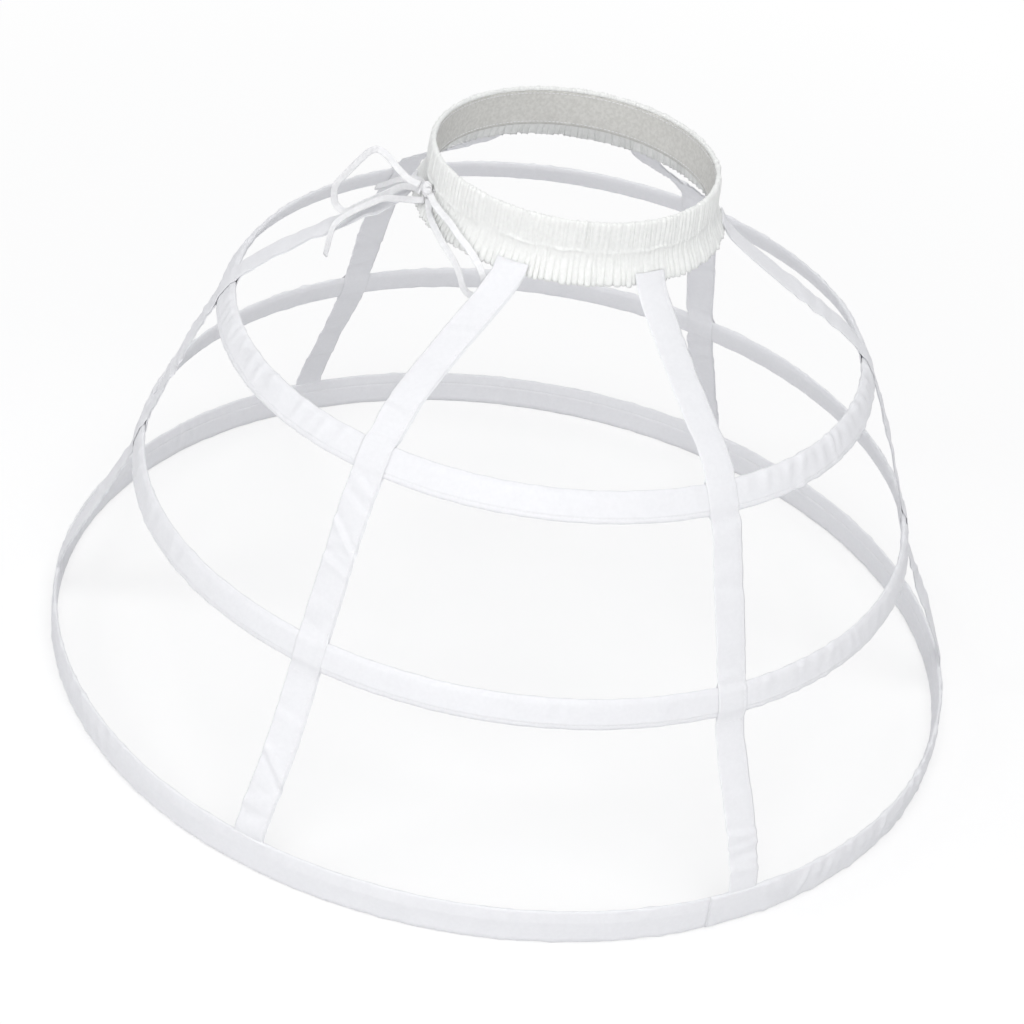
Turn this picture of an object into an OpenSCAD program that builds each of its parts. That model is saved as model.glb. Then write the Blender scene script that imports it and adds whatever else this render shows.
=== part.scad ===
// Crinoline cage: a gathered elastic waistband carries six tape straps,
// which thread two boned hoops and end in the turned top of a boned hem.
// The origin is the middle of the waist elastic, +Z is up, sizes are in millimetres.

/* [Waistband] */
// Inside radius of the relaxed waist elastic
waist_r = 107; // [98:1:118]
// Height of the waist elastic
elastic_h = 30; // [26:1:36]
// Thickness of the waist elastic
elastic_t = 1.6; // [1:0.1:2.4]
// Thickness of the gathered cloth
cover_t = 0.9; // [0.6:0.1:1.4]
// Number of gathers round the cover
gather_count = 100; // [60:2:130]
// Depth of the fine gathers over the elastic
gather_depth = 1.8; // [0.8:0.1:2.6]
// How far the cover puffs out from the elastic
puff_depth = 1.2; // [0.6:0.1:1.6]
// Height of the gathered rim above the elastic
rim_h = 1.8; // [1:0.1:3]
// Height of the frill below the elastic
frill_h = 14; // [10:1:20]
// How far the frill's edge stands out from its root
frill_flare = 7; // [5:0.5:12]
// Depth of the pleats at the frill's edge
pleat_depth = 3.6; // [2:0.1:6]
// Rise and fall of the frill's ruffled edge
ruffle_h = 1.6; // [0.6:0.1:3]

/* [Drawstring] */
// Width of the flat drawstring
cord_d = 4.4; // [3:0.1:5]
// Thickness of the drawstring in its tunnel
cord_t = 1.5; // [1:0.1:2]
// Angle of the bow, counted from +X
bow_angle = 205; // [200:1:210]
// Distance between the two places where the drawstring comes out
bow_exit_gap = 8; // [6:0.5:12]
// Radius of the knot
knot_r = 6.2; // [5.5:0.1:7]
// Thickness of the knot, across its flat sides
knot_t = 6.4; // [5.5:0.1:7]

/* [Straps] */
// Width of the strap tape
strap_w = 25; // [15:1:40]
// Thickness of one of a strap's two layers
tape_t = 0.8; // [0.5:0.1:1.2]
// Angle of the first strap, counted from +X
first_strap_angle = 4.5; // [0:0.5:20]
// How far round the waist the front left strap's top is sewn from its place on the hoops
front_left_turn_angle = 9; // [0:0.5:12]
// Length over which a strap's layers part above and below a hoop
eye_tip_h = 6; // [3:0.5:10]
// Length of a strap's end inside the hem
tuck_h = 7; // [4:0.5:9]

/* [Hoops] */
// Radius of the upper hoop, at the middle of its bone
upper_hoop_r = 253; // [200:1:300]
// Radius of the middle hoop, at the middle of its bone
middle_hoop_r = 312; // [260:1:360]
// Radius of the hem, at the middle of its bone
hem_r = 371; // [320:1:430]
// Lean of the upper hoop's tape, its top inwards
upper_tilt_angle = 32; // [0:1:40]
// Lean of the middle hoop's tape, its top inwards
middle_tilt_angle = 17; // [0:1:30]
// Drop from the origin to the middle of the upper hoop
upper_hoop_drop = 134; // [110:1:170]
// Drop from the origin to the middle of the middle hoop
middle_hoop_drop = 276; // [240:1:320]
// Drop from the origin to the middle of the hem
hem_drop = 429; // [390:1:480]
// Thickness of the casing cloth
casing_cloth_t = 0.7; // [0.5:0.1:1.2]
// Height of a casing's stitched edge
seam_h = 4.1; // [2:0.1:6]
// Height of the hem's turned top, above its bone channel
hem_top_h = 10; // [9:0.5:16]

/* [Bones] */
// Width of the flat bone
bone_w = 14; // [8:0.5:18]
// Thickness of the flat bone
bone_t = 1.2; // [0.8:0.1:2]
// Gap between a bone's two ends
bone_gap = 1; // [0.5:0.1:3]
// Length of the sleeve that joins a bone's ends
ferrule_l = 30; // [20:1:50]
// Wall of the sleeve
ferrule_wall = 0.4; // [0.3:0.1:0.8]
// Angle of the upper hoop's join, counted from +X
first_join_angle = 35; // [20:1:50]

/* [Fit] */
// Clearance between pieces that lie against each other
fit = 0.25; // [0.15:0.05:0.4]

/* [Hidden] */
$fn = 180;

// Colours
cloth_colour = [0.94, 0.94, 0.95];
strap_colour = [0.90, 0.90, 0.93];
elastic_colour = [0.80, 0.80, 0.76];
cord_colour = [0.95, 0.95, 0.94];
bone_colour = [0.86, 0.86, 0.84];
ferrule_colour = [0.70, 0.71, 0.73];

// Waistband: heights and radii of the gathered cover's section
elastic_top = elastic_h / 2;
elastic_low = -elastic_h / 2;
core_r = waist_r + elastic_t + fit;
rim_in_r = waist_r + fit;
cover_r = core_r + cover_t;
tunnel_h = cord_d + 2 * fit;
tunnel_t = cord_t + 2 * fit;
tunnel_share = 0.28;
tunnel_z = -elastic_h * tunnel_share;
tunnel_top = tunnel_z + tunnel_h / 2;
tunnel_low = tunnel_z - tunnel_h / 2;
tunnel_out_r = core_r + tunnel_t;
run_r = core_r + tunnel_t / 2;
ridge_r = tunnel_out_r + cover_t;
root_r = cover_r + puff_depth;
root_z = tunnel_low - 2 * cover_t;
frill_low = elastic_low - frill_h;
edge_r = root_r + frill_flare;
overrun = 2 * cover_t;

// Shares that shape the cover: how far each row of its section follows
// the gathers, the pleats and the ruffle, and where the rows lie
rim_gather_share = 0.4;
rim_ruffle_share = 0.3;
rim_shoulder_share = 0.6;
puff_share = 0.6;
ridge_gather_share = 0.8;
ridge_half_share = 0.3;
root_gather_share = 0.7;
frill_mid_share = 0.5;
frill_mid_pleat_share = 0.6;
frill_slant_share = 1.3;
uneven_share = 0.35;
uneven_waves = 13;
ruffle_waves = 34;

// Rows of the section, outside from the rim to the frill's edge and then back inside:
// radius in a valley, height, share of the gathers, of the pleats and of the ruffle
cover_rows = [
  [rim_in_r, elastic_top + fit, 0, 0, 0],
  [rim_in_r, elastic_top + fit + rim_h * rim_shoulder_share, 0, 0, 0],
  [core_r, elastic_top + fit + rim_h, rim_gather_share, 0, rim_ruffle_share],
  [cover_r, elastic_top, 1, 0, 0],
  [cover_r + puff_depth * puff_share, elastic_top * puff_share, 1, 0, 0],
  [root_r, tunnel_top + tunnel_h * ridge_half_share, 1, 0, 0],
  [ridge_r, tunnel_z + tunnel_h * ridge_half_share, ridge_gather_share, 0, 0],
  [ridge_r, tunnel_z - tunnel_h * ridge_half_share, ridge_gather_share, 0, 0],
  [root_r, root_z, root_gather_share, 0, 0],
  [root_r + frill_flare * frill_mid_share, root_z + (frill_low - root_z) * frill_mid_share,
    0, frill_mid_pleat_share, 0],
  [edge_r, frill_low, 0, 1, 1],
  [edge_r - cover_t * frill_slant_share, frill_low, 0, 1, 1],
  [root_r + frill_flare * frill_mid_share - cover_t * frill_slant_share,
    root_z + (frill_low - root_z) * frill_mid_share - cover_t * frill_slant_share,
    0, frill_mid_pleat_share, 0],
  [core_r, root_z - cover_t * frill_slant_share, 0, 0, 0],
  [core_r, tunnel_low, 0, 0, 0],
  [tunnel_out_r, tunnel_low, 0, 0, 0],
  [tunnel_out_r, tunnel_top, 0, 0, 0],
  [core_r, tunnel_top, 0, 0, 0],
  [core_r, elastic_top + fit, 0, 0, 0]];

// Casings and bones: the channel takes the bone inside its joining sleeve
channel_t = bone_t + 2 * ferrule_wall + 4 * fit;
channel_h = bone_w + 2 * ferrule_wall + 4 * fit;
casing_t = channel_t + 2 * casing_cloth_t;
seam_t = 2 * casing_cloth_t;
casing_h = channel_h + 2 * seam_h;
strap_t = 2 * tape_t;
hem_h = channel_h + seam_h + hem_top_h;
hem_top_t = strap_t + 2 * fit + 2 * casing_cloth_t;
hem_low = -hem_drop - hem_h / 2;
hem_high = -hem_drop + hem_h / 2;
hem_channel_z = hem_low + seam_h + channel_h / 2;
join_step_angle = 120;

// Straps: six round the waist
strap_count = 6;
strap_step_angle = 360 / strap_count;
sewn_share = 0.35;
curve_share = 0.14;
curve_steps = 10;
// How far a turned strap's upper run reaches into the flat rest, and how it narrows there
seat_steps = 1;
seat_share = 0.98;

// Bow: the knot's middle, just outside the waistband
ridge_crest_r = ridge_r + gather_depth;
knot_mid_r = ridge_crest_r + 2 * fit + knot_t / 2;
// How far the drawstring runs past each buttonhole, and how it narrows in it
turn_share = 1.2;
squeeze_share = 0.9;

// Route points of the bow's cords, from the knot outwards, and back to it on the loops
upper_loop_route = [[-112, -46, -7], [-121, -42, -6], [-130, -38, -1], [-138, -34, 5],
  [-146, -30, 8], [-153, -26, 4], [-160, -22, -6], [-166, -19, -16], [-172, -16, -26],
  [-177, -14, -35], [-178, -13, -45], [-175, -14, -53], [-167, -17, -55], [-157, -16, -48],
  [-147, -16, -41], [-137, -16, -34], [-128, -19, -26], [-121, -29, -19], [-115, -39, -14],
  [-111, -46, -12]];
lower_loop_route = [[-104, -54, -13], [-102, -60, -20], [-99, -69, -22], [-93, -80, -26],
  [-87, -90, -29], [-80, -97, -34], [-74, -102, -40], [-70, -105, -47], [-67, -108, -53],
  [-62, -111, -56], [-56, -114, -54], [-52, -116, -48], [-52, -115, -41], [-55, -114, -34],
  [-60, -110, -28], [-67, -103, -23], [-76, -95, -18], [-84, -85, -14], [-92, -75, -12],
  [-99, -65, -10], [-103, -56, -8]];
short_tail_route = [[-108, -43, -10], [-114, -33, -10], [-122, -22, -16], [-131, -12, -24],
  [-140, -5, -33], [-148, 1, -40]];
long_tail_route = [[-107, -50, -17], [-115, -45, -21], [-123, -37, -26], [-131, -29, -31],
  [-140, -23, -36], [-150, -22, -43], [-160, -23, -50], [-168, -25, -56], [-174, -29, -62],
  [-176, -32, -71], [-177, -33, -79], [-178, -33, -87]];
cord_sides = 8;
cord_up = [0.2, 0.3, 0.9];

function unit(v) = v / norm(v);
function reversed(list) = [for (i = [len(list) - 1 : -1 : 0]) list[i]];
function arc_angle(length, radius) = length / radius * 180 / PI;
// How far a flat tape of the strap's width stands off a curve of this radius
function flat_sag(radius) = radius - sqrt(radius * radius - strap_w * strap_w / 4);
function bezier(a, b, c, d, s) = a * pow(1 - s, 3) + 3 * b * s * pow(1 - s, 2)
  + 3 * c * s * s * (1 - s) + d * pow(s, 3);
function bezier_way(a, b, c, d, s) = unit((b - a) * pow(1 - s, 2)
  + 2 * (c - b) * s * (1 - s) + (d - c) * s * s);

// Closed solid on a grid of points: rings that follow each other, either joined
// round into a ring or closed by a cap at each end
module grid_solid(rings, joined) {
  n = len(rings);
  m = len(rings[0]);
  points = [for (ring = rings, p = ring) p];
  last = joined ? n - 1 : n - 2;
  skin = [for (i = [0 : last], j = [0 : m - 1])
    let (i2 = (i + 1) % n, j2 = (j + 1) % m)
    each [[i * m + j, i2 * m + j, i2 * m + j2], [i * m + j, i2 * m + j2, i * m + j2]]];
  caps = joined ? [] : [[for (j = [0 : m - 1]) j], [for (j = [m - 1 : -1 : 0]) (n - 1) * m + j]];
  polyhedron(points, concat(skin, caps));
}

// Waistband

// One place round the cover: crests and valleys take turns, unevenly deep
function cover_ring(column) =
  let (a = 180 * column / gather_count,
    crest = column % 2 == 0 ? 1 - uneven_share * (1 + sin(a * uneven_waves)) / 2 : 0,
    lift = sin(a * ruffle_waves) / 2)
  [for (row = cover_rows)
    let (r = row[0] + crest * (row[2] * gather_depth + row[3] * pleat_depth))
    [r * cos(a), r * sin(a), row[1] + lift * row[4] * ruffle_h]];

// Where the drawstring comes out, on either side of the bow
module bow_exits() {
  for (side = [-1, 1])
    rotate(bow_angle + side * arc_angle(bow_exit_gap, tunnel_out_r) / 2)
      translate([0, 0, tunnel_z])
        rotate([0, 90, 0])
          children();
}

module waistband_cover() {
  color(cloth_colour)
    difference() {
      grid_solid([for (c = [0 : 2 * gather_count - 1]) cover_ring(c)], true);
      bow_exits()
        translate([0, 0, run_r])
          linear_extrude(ridge_crest_r - core_r + overrun)
            square([tunnel_h, tunnel_t], center = true);
    }
}

module waist_elastic() {
  color(elastic_colour)
    rotate_extrude()
      translate([waist_r, elastic_low])
        square([elastic_t, elastic_h]);
}

// The drawstring's run in its tunnel, and its two ends up to the knot
module drawstring() {
  half_gap = arc_angle(bow_exit_gap, tunnel_out_r) / 2 - arc_angle(cord_t * turn_share, run_r);
  color(cord_colour) {
    rotate(bow_angle + half_gap)
      translate([0, 0, tunnel_z])
        rotate_extrude(angle = 360 - 2 * half_gap)
          translate([run_r, 0])
            square([cord_t, cord_d], center = true);
    bow_exits()
      translate([0, 0, run_r])
        linear_extrude(knot_mid_r - knot_t / 2 - fit - run_r)
          square([cord_d * squeeze_share, cord_t], center = true);
  }
}

// Bow

module bow_knot() {
  color(cord_colour)
    rotate(bow_angle)
      translate([knot_mid_r, 0, tunnel_z])
        rotate([0, 90, 0])
          rotate_extrude() {
            translate([0, -knot_t / 2])
              square([knot_r - knot_t / 2, knot_t]);
            intersection() {
              translate([knot_r - knot_t / 2, 0])
                circle(d = knot_t);
              translate([0, -knot_t / 2])
                square([knot_r, knot_t]);
            }
          }
}

function route_way(route, i) =
  unit(route[min(i + 1, len(route) - 1)] - route[max(i - 1, 0)]);
// Sideways direction at a point of a route, carried along from its start without twist
function route_side(route, i) =
  let (way = route_way(route, i),
    before = i == 0 ? cord_up : route_side(route, i - 1))
  unit(before - way * (before * way));

module cord(route) {
  color(cord_colour)
    grid_solid([for (i = [0 : len(route) - 1])
      let (u = route_side(route, i), v = cross(route_way(route, i), u))
      [for (j = [0 : cord_sides - 1])
        let (a = 360 * j / cord_sides)
        route[i] + cord_d / 2 * (u * cos(a) + v * sin(a))]], false);
}

module bow_loop_upper() { cord(upper_loop_route); }
module bow_loop_lower() { cord(lower_loop_route); }
module bow_tail_short() { cord(short_tail_route); }
module bow_tail_long() { cord(long_tail_route); }

// Straps

// Places along a strap, seen from the side: [point, outward normal, outer half, inner half],
// from one end to the next, leaving and reaching them in the given directions
function strap_curve(start, leave, end, reach) =
  let (pull = norm(end - start) * curve_share, b = start + leave * pull, c = end - reach * pull)
  [for (i = [0 : curve_steps])
    let (s = i / curve_steps, way = bezier_way(start, b, c, end, s))
    [bezier(start, b, c, end, s), [-way[1], way[0]], tape_t, tape_t]];

// Directions in a strap's side view where it leans by an angle: down along it, and outwards
function lean_way(tilt) = [sin(tilt), -cos(tilt)];
function lean_out(tilt) = [cos(tilt), sin(tilt)];

// Where a strap's layers part round a hoop casing, from the top down
function eye_places(middle, tilt) =
  let (sag = flat_sag(middle[0]))
  [for (row = [[-casing_h / 2, seam_t / 2], [-channel_h / 2, casing_t / 2],
      [channel_h / 2, casing_t / 2], [casing_h / 2, seam_t / 2]])
    [middle + lean_way(tilt) * row[0], lean_out(tilt),
      row[1] + fit + tape_t, row[1] + fit + sag + tape_t]];

// The eye itself, between the layers
function eye_outline(middle, tilt) =
  let (places = eye_places(middle, tilt))
  concat([middle - lean_way(tilt) * eye_reach],
    [for (p = places) p[0] + p[1] * (p[2] - tape_t)],
    [middle + lean_way(tilt) * eye_reach],
    reversed([for (p = places) p[0] - p[1] * (p[3] - tape_t)]));

// Top of the strap, sewn flat on the outside of the frill
frill_top = [root_r + gather_depth * root_gather_share, root_z];
frill_edge = [edge_r + pleat_depth, frill_low + ruffle_h / 2];
frill_way = unit(frill_edge - frill_top);
frill_out = [-frill_way[1], frill_way[0]];
sewn_top = frill_top + (frill_edge - frill_top) * sewn_share + frill_out * (fit + tape_t);
sewn_low = frill_edge + frill_out * (fit + tape_t) + frill_way * ruffle_h;

// Middles of the hoops and ends of the straps' eyes round them
eye_reach = casing_h / 2 + eye_tip_h;
upper_hoop = [upper_hoop_r, -upper_hoop_drop];
middle_hoop = [middle_hoop_r, -middle_hoop_drop];
upper_way = lean_way(upper_tilt_angle);
middle_way = lean_way(middle_tilt_angle);
hem_top = [hem_r, hem_high];
tuck_end = [hem_r, hem_high - tuck_h];
hem_channel = [hem_r, hem_channel_z];

// A strap's run from the waistband to its first eye, and the rest of it down to the hem
waist_run = concat(
  [[sewn_top, frill_out, tape_t, tape_t]],
  strap_curve(sewn_low, frill_way, upper_hoop - upper_way * eye_reach, upper_way));
hoop_runs = concat(
  eye_places(upper_hoop, upper_tilt_angle),
  strap_curve(upper_hoop + upper_way * eye_reach, upper_way,
    middle_hoop - middle_way * eye_reach, middle_way),
  eye_places(middle_hoop, middle_tilt_angle),
  strap_curve(middle_hoop + middle_way * eye_reach, middle_way, hem_top, lean_way(0)),
  [[tuck_end, lean_out(0), tape_t, tape_t]]);

// Flat tape along some of these places, in the plane of X and Z
module strap_tape(places) {
  rotate([90, 0, 0])
    linear_extrude(strap_w, center = true)
      difference() {
        polygon(concat([for (p = places) p[0] + p[1] * p[2]],
          reversed([for (p = places) p[0] - p[1] * p[3]])));
        polygon(eye_outline(upper_hoop, upper_tilt_angle));
        polygon(eye_outline(middle_hoop, middle_tilt_angle));
      }
}

module strap(number) {
  color(strap_colour)
    rotate(first_strap_angle + number * strap_step_angle)
      strap_tape(concat(waist_run, hoop_runs));
}

// Cross-section of a run that is turned round the waist by an angle at its top
function turned_ring(place, turn_angle) =
  [for (corner = [[1, 1], [-1, 1], [-1, -1], [1, -1]])
    let (p = place[0] + place[1] * corner[1] * tape_t * seat_share,
      side = corner[0] * strap_w * seat_share / 2,
      turn = turn_angle * sewn_top[0] / place[0][0])
    [p[0] * cos(turn) - side * sin(turn), p[0] * sin(turn) + side * cos(turn), p[1]]];

// A strap whose top is sewn further round the waist: its turned run ends inside the flat rest
module turned_strap(number, turn_angle) {
  last = len(waist_run) - 1;
  joint = last - 2 * seat_steps;
  color(strap_colour)
    rotate(first_strap_angle + number * strap_step_angle) {
      grid_solid([for (i = [0 : last - seat_steps])
        turned_ring(waist_run[i], turn_angle * min(1, max(0, (joint - i) / (joint - 1))))], false);
      strap_tape(concat([for (i = [joint : last]) waist_run[i]], hoop_runs));
    }
}

// Hoops

// Closed tape casing with the bone's channel in it
module hoop_casing(middle, tilt) {
  color(cloth_colour)
    rotate_extrude()
      translate(middle)
        rotate(tilt)
          difference() {
            polygon([[seam_t / 2, -casing_h / 2], [casing_t / 2, -channel_h / 2],
              [casing_t / 2, channel_h / 2], [seam_t / 2, casing_h / 2],
              [-seam_t / 2, casing_h / 2], [-casing_t / 2, channel_h / 2],
              [-casing_t / 2, -channel_h / 2], [-seam_t / 2, -casing_h / 2]]);
            square([channel_t, channel_h], center = true);
          }
}

module hoop_casing_upper() { hoop_casing(upper_hoop, upper_tilt_angle); }
module hoop_casing_middle() { hoop_casing(middle_hoop, middle_tilt_angle); }

// Hem: a casing with a taller turned top, which holds the straps' ends
module hem_casing() {
  channel_low = hem_channel_z - channel_h / 2;
  channel_high = hem_channel_z + channel_h / 2;
  color(cloth_colour)
    difference() {
      rotate_extrude()
        translate([hem_r, 0])
          difference() {
            polygon([[seam_t / 2, hem_low], [casing_t / 2, channel_low],
              [casing_t / 2, channel_high], [hem_top_t / 2, hem_high],
              [-hem_top_t / 2, hem_high], [-casing_t / 2, channel_high],
              [-casing_t / 2, channel_low], [-seam_t / 2, hem_low]]);
            translate([-channel_t / 2, channel_low])
              square([channel_t, channel_h]);
          }
      for (number = [0 : strap_count - 1])
        rotate(first_strap_angle + number * strap_step_angle)
          translate([hem_r - strap_t / 2 - fit, -strap_w / 2 - fit, hem_high - tuck_h - fit])
            cube([strap_t + 2 * fit, strap_w + 2 * fit, tuck_h + fit + overrun]);
    }
}

// Flat bone bent round into a hoop, with a small gap at its join
module hoop_bone(middle, tilt, number) {
  gap_angle = arc_angle(bone_gap, middle[0]);
  color(bone_colour)
    rotate(first_join_angle + number * join_step_angle + gap_angle / 2)
      rotate_extrude(angle = 360 - gap_angle)
        translate(middle)
          rotate(tilt)
            square([bone_t, bone_w], center = true);
}

module hoop_bone_upper() { hoop_bone(upper_hoop, upper_tilt_angle, 0); }
module hoop_bone_middle() { hoop_bone(middle_hoop, middle_tilt_angle, 1); }
module hem_bone() { hoop_bone(hem_channel, 0, 2); }

// Flattened sleeve that joins a bone's two ends
module bone_ferrule(middle, tilt, number) {
  sleeve_angle = arc_angle(ferrule_l, middle[0]);
  color(ferrule_colour)
    rotate(first_join_angle + number * join_step_angle - sleeve_angle / 2)
      rotate_extrude(angle = sleeve_angle)
        translate(middle)
          rotate(tilt)
            difference() {
              square([bone_t + 2 * fit + 2 * ferrule_wall, bone_w + 2 * fit + 2 * ferrule_wall],
                center = true);
              square([bone_t + 2 * fit, bone_w + 2 * fit], center = true);
            }
}

module bone_ferrule_upper() { bone_ferrule(upper_hoop, upper_tilt_angle, 0); }
module bone_ferrule_middle() { bone_ferrule(middle_hoop, middle_tilt_angle, 1); }
module bone_ferrule_hem() { bone_ferrule(hem_channel, 0, 2); }

waistband_cover();
waist_elastic();
drawstring();
bow_knot();
bow_loop_upper();
bow_loop_lower();
bow_tail_short();
bow_tail_long();
strap(0);  // strap_right
strap(1);  // strap_back_right
strap(2);  // strap_back_left
strap(3);  // strap_left
turned_strap(4, front_left_turn_angle);  // strap_front_left
strap(5);  // strap_front_right
hoop_casing_upper();
hoop_casing_middle();
hem_casing();
hoop_bone_upper();
hoop_bone_middle();
hem_bone();
bone_ferrule_upper();
bone_ferrule_middle();
bone_ferrule_hem();
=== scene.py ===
"""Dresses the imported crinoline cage: waistband, straps, hoops, hem, bow, light and camera."""
import math

import bpy
import numpy as np
from mathutils import Matrix, Vector


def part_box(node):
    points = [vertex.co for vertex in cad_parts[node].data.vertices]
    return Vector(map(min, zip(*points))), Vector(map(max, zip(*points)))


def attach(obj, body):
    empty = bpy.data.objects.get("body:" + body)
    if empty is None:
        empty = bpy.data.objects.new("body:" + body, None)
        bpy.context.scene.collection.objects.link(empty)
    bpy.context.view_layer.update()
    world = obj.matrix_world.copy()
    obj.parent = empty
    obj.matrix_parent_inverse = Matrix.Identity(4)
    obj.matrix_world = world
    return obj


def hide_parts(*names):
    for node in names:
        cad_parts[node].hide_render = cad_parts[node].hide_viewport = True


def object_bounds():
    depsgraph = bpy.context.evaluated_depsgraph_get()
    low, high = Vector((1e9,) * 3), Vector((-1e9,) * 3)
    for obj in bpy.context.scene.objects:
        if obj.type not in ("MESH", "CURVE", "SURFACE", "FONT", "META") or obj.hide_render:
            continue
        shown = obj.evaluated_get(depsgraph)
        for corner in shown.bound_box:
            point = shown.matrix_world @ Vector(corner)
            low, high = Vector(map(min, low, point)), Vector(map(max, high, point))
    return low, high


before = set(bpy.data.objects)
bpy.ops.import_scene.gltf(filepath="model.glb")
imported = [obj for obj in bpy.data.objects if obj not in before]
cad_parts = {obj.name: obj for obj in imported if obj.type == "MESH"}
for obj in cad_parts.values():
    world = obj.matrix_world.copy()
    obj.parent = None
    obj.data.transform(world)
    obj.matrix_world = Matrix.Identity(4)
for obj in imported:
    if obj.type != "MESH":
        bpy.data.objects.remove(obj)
cad_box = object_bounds()
scene = bpy.context.scene
rng = np.random.default_rng(11)

# Sizes of the tapes and casings, in metres, as in the solids
FIT = 0.00025
TAPE_T = 0.0008
STRAP_W = 0.025
CASING_T = 0.0044
CASING_H = 0.024
CASING_SEAM_T = 0.0014
CHANNEL_T = 0.003
CHANNEL_H = 0.0158
SEAM_H = 0.0041
HEM_H = 0.0299
HEM_TOP_H = 0.010
HEM_TOP_T = 0.0035
EYE_TIP_H = 0.006
TUCK_H = 0.007
CORD_D = 0.0044
# Sizes that the solids don't have: the thickness of the bow's tape, and the stitches
CORD_T = 0.0012
STITCH_R = 0.00033
STITCH_STEP = 0.0032
STITCH_L = 0.0024
# Places along a stitch, as shares of its length, and its thickness there
STITCH_SHARES = ((-0.5, 0.35), (0.0, 1.0), (0.5, 0.35))

# The straps, in order round the waist, and where the first one and the bow lie
STRAPS = ["strap_right", "strap_back_right", "strap_back_left",
          "strap_left", "strap_front_left", "strap_front_right"]
FIRST_STRAP = math.radians(4.5)
STRAP_STEP = math.radians(60)
BOW_ANGLE = math.radians(205)
# How far round the waist the tops of some straps are sewn from their places on the hoops
TOP_TURNS = {"strap_front_left": math.radians(9)}
# Lean of each ring's tape, its top inwards
LEANS = {"hoop_casing_upper": math.radians(32), "hoop_casing_middle": math.radians(17),
         "hem_casing": 0.0}


# Camera

CAMERA_AT = (0.0, -1.9868, 1.0176)
CAMERA_YAW = math.radians(-0.16)
CAMERA_PITCH = math.radians(33.86)
CAMERA_ROLL = math.radians(9.09)
LENS_MM = 102.7
SENSOR_MM = 36.0


def make_camera():
    """Camera where the photograph was taken from: it looks down on the cage and leans a little."""
    forward = Vector((math.sin(CAMERA_YAW) * math.cos(CAMERA_PITCH),
                      math.cos(CAMERA_YAW) * math.cos(CAMERA_PITCH),
                      -math.sin(CAMERA_PITCH)))
    level = Vector((math.cos(CAMERA_YAW), -math.sin(CAMERA_YAW), 0.0))
    above = level.cross(forward)
    right = level * math.cos(CAMERA_ROLL) + above * math.sin(CAMERA_ROLL)
    up = above * math.cos(CAMERA_ROLL) - level * math.sin(CAMERA_ROLL)
    data = bpy.data.cameras.new("camera")
    data.lens = LENS_MM
    data.sensor_width = SENSOR_MM
    camera = bpy.data.objects.new("camera", data)
    turn = Matrix((right, up, -forward)).transposed()
    camera.matrix_world = Matrix.Translation(CAMERA_AT) @ turn.to_4x4()
    scene.collection.objects.link(camera)
    scene.camera = camera


# Materials

# Span of the noise over which a colour changes, and the weave's share of the relief beside the slubs
TINT_SPAN = (0.35, 0.65)
WEAVE_SHARE = 0.5
SLUB_SCALE = 320.0
SLUB_DETAIL = 4.0
GRAIN_DETAIL = 5.0
CLOTH_LOOK = {"Roughness": 0.92, "Specular IOR Level": 0.2, "Sheen Weight": 0.15, "Sheen Roughness": 0.5}


class Nodes:
    """Short way to write a material's nodes."""

    def __init__(self, name):
        self.material = bpy.data.materials.new(name)
        self.material.use_nodes = True
        self.tree = self.material.node_tree
        self.shader = self.tree.nodes["Principled BSDF"]

    def add(self, kind, **values):
        node = self.tree.nodes.new(kind)
        for key, value in values.items():
            setattr(node, key, value)
        return node

    def link(self, out, into):
        self.tree.links.new(out, into)

    def math(self, operation, a, b=None):
        node = self.add("ShaderNodeMath", operation=operation)
        for socket, value in zip(node.inputs, (a, b)):
            if value is None:
                continue
            if isinstance(value, (int, float)):
                socket.default_value = value
            else:
                self.link(value, socket)
        return node.outputs[0]

    def noise(self, scale, detail):
        node = self.add("ShaderNodeTexNoise")
        node.inputs["Scale"].default_value = scale
        node.inputs["Detail"].default_value = detail
        self.link(self.add("ShaderNodeNewGeometry").outputs["Position"], node.inputs["Vector"])
        return node.outputs["Fac"]

    def tint(self, amount, low, high):
        ramp = self.add("ShaderNodeValToRGB")
        for stop, colour, place in zip(ramp.color_ramp.elements, (low, high), TINT_SPAN):
            stop.color = (*colour, 1)
            stop.position = place
        self.link(amount, ramp.inputs["Fac"])
        return ramp.outputs["Color"]

    def look(self, values):
        for name, value in values.items():
            self.shader.inputs[name].default_value = value

    def bump(self, height, distance):
        node = self.add("ShaderNodeBump")
        node.inputs["Distance"].default_value = distance
        self.link(height, node.inputs["Height"])
        self.link(node.outputs["Normal"], self.shader.inputs["Normal"])


def cloth_material(name, low, high, along, across, relief, slub=SLUB_SCALE):
    """Woven cloth: threads that cross along the weave map, slubs, and a faintly uneven white."""
    n = Nodes(name)
    place = n.add("ShaderNodeUVMap", uv_map="Weave")
    split = n.add("ShaderNodeSeparateXYZ")
    n.link(place.outputs["UV"], split.inputs[0])
    warp = n.math("SINE", n.math("MULTIPLY", split.outputs["X"], 2 * math.pi / along))
    weft = n.math("SINE", n.math("MULTIPLY", split.outputs["Y"], 2 * math.pi / across))
    weave = n.math("MULTIPLY", n.math("MULTIPLY", warp, weft), WEAVE_SHARE)
    slubs = n.noise(slub, SLUB_DETAIL)
    n.link(n.tint(slubs, low, high), n.shader.inputs["Base Color"])
    n.bump(n.math("ADD", weave, slubs), relief)
    n.look(CLOTH_LOOK)
    return n.material


def grain_material(name, low, high, roughness, metallic, scale, relief):
    """Plain rigid material with a fine drawn grain."""
    n = Nodes(name)
    grain = n.noise(scale, GRAIN_DETAIL)
    n.link(n.tint(grain, low, high), n.shader.inputs["Base Color"])
    n.bump(grain, relief)
    n.look({"Roughness": roughness, "Metallic": metallic})
    return n.material


TAPE_WHITES = ((0.838, 0.840, 0.860), (0.856, 0.858, 0.878))
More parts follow.
